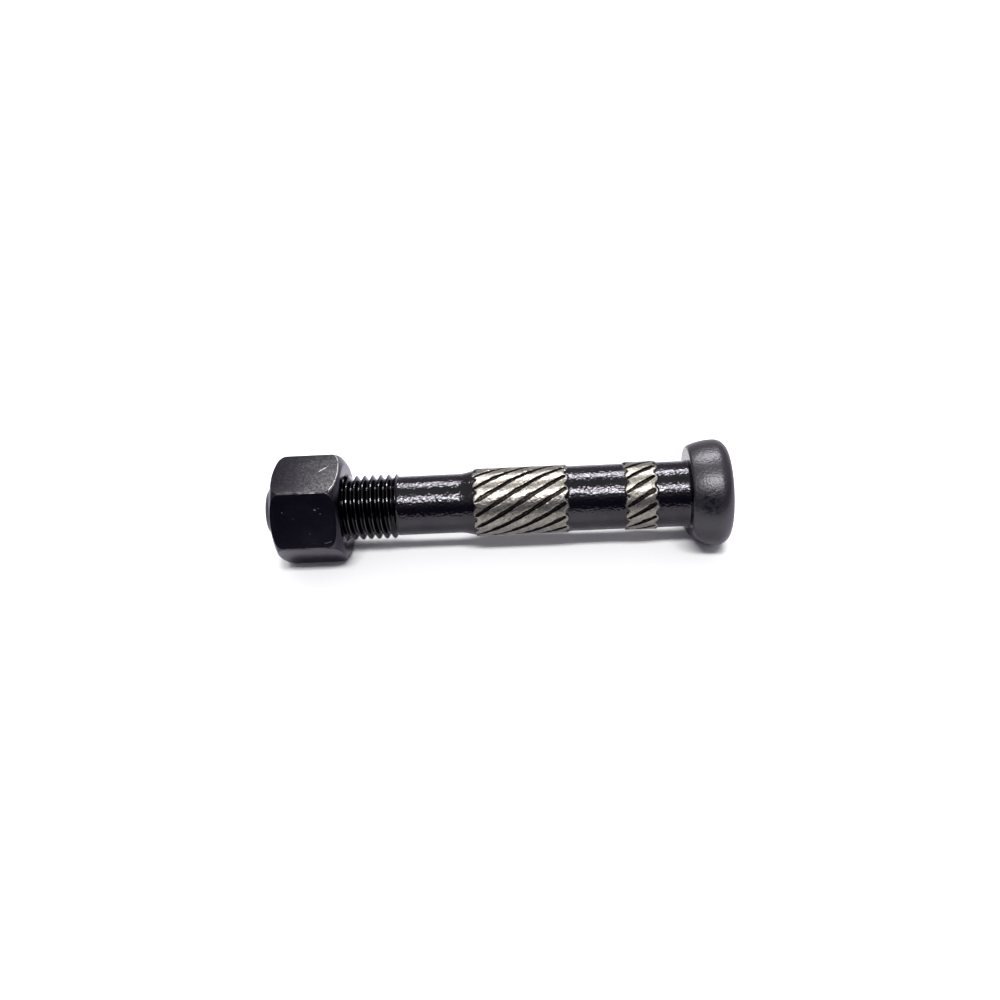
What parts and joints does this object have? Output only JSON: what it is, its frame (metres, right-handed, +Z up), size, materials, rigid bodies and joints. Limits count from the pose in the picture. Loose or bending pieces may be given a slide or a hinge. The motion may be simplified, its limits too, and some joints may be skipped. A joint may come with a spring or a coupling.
{
  "type": "connecting rod bolt",
  "caption": "Connecting rod bolt with a round bull-nosed head, two helically knurled bands on its shank, a waist, a fine thread and its hexagon nut.",
  "frame": {"origin": "centre of the seat under the head, on the bolt's axis", "axes": "+X along the bolt's axis from the nut towards the head; +Z up, square to one flat of the nut, as the bolt lies on its side; -Y is the side the picture was taken from"},
  "size_m": [0.0854, 0.0208, 0.0196],
  "materials": {
    "bolt_steel": "black oxide, with bright ground lands on the knurled bands",
    "nut_steel": "black oxide"
  },
  "bodies": {
    "bolt": {"bolt": "bolt_steel"},
    "nut": {"nut": "nut_steel"}
  },
  "joints": [
    {"name": "nut_turn", "type": "hinge", "parent": "bolt", "child": "nut", "pos_m": [-0.0693, 0, 0], "axis": [1, 0, 0], "range_deg": [-3460, 2090]}
  ]
}
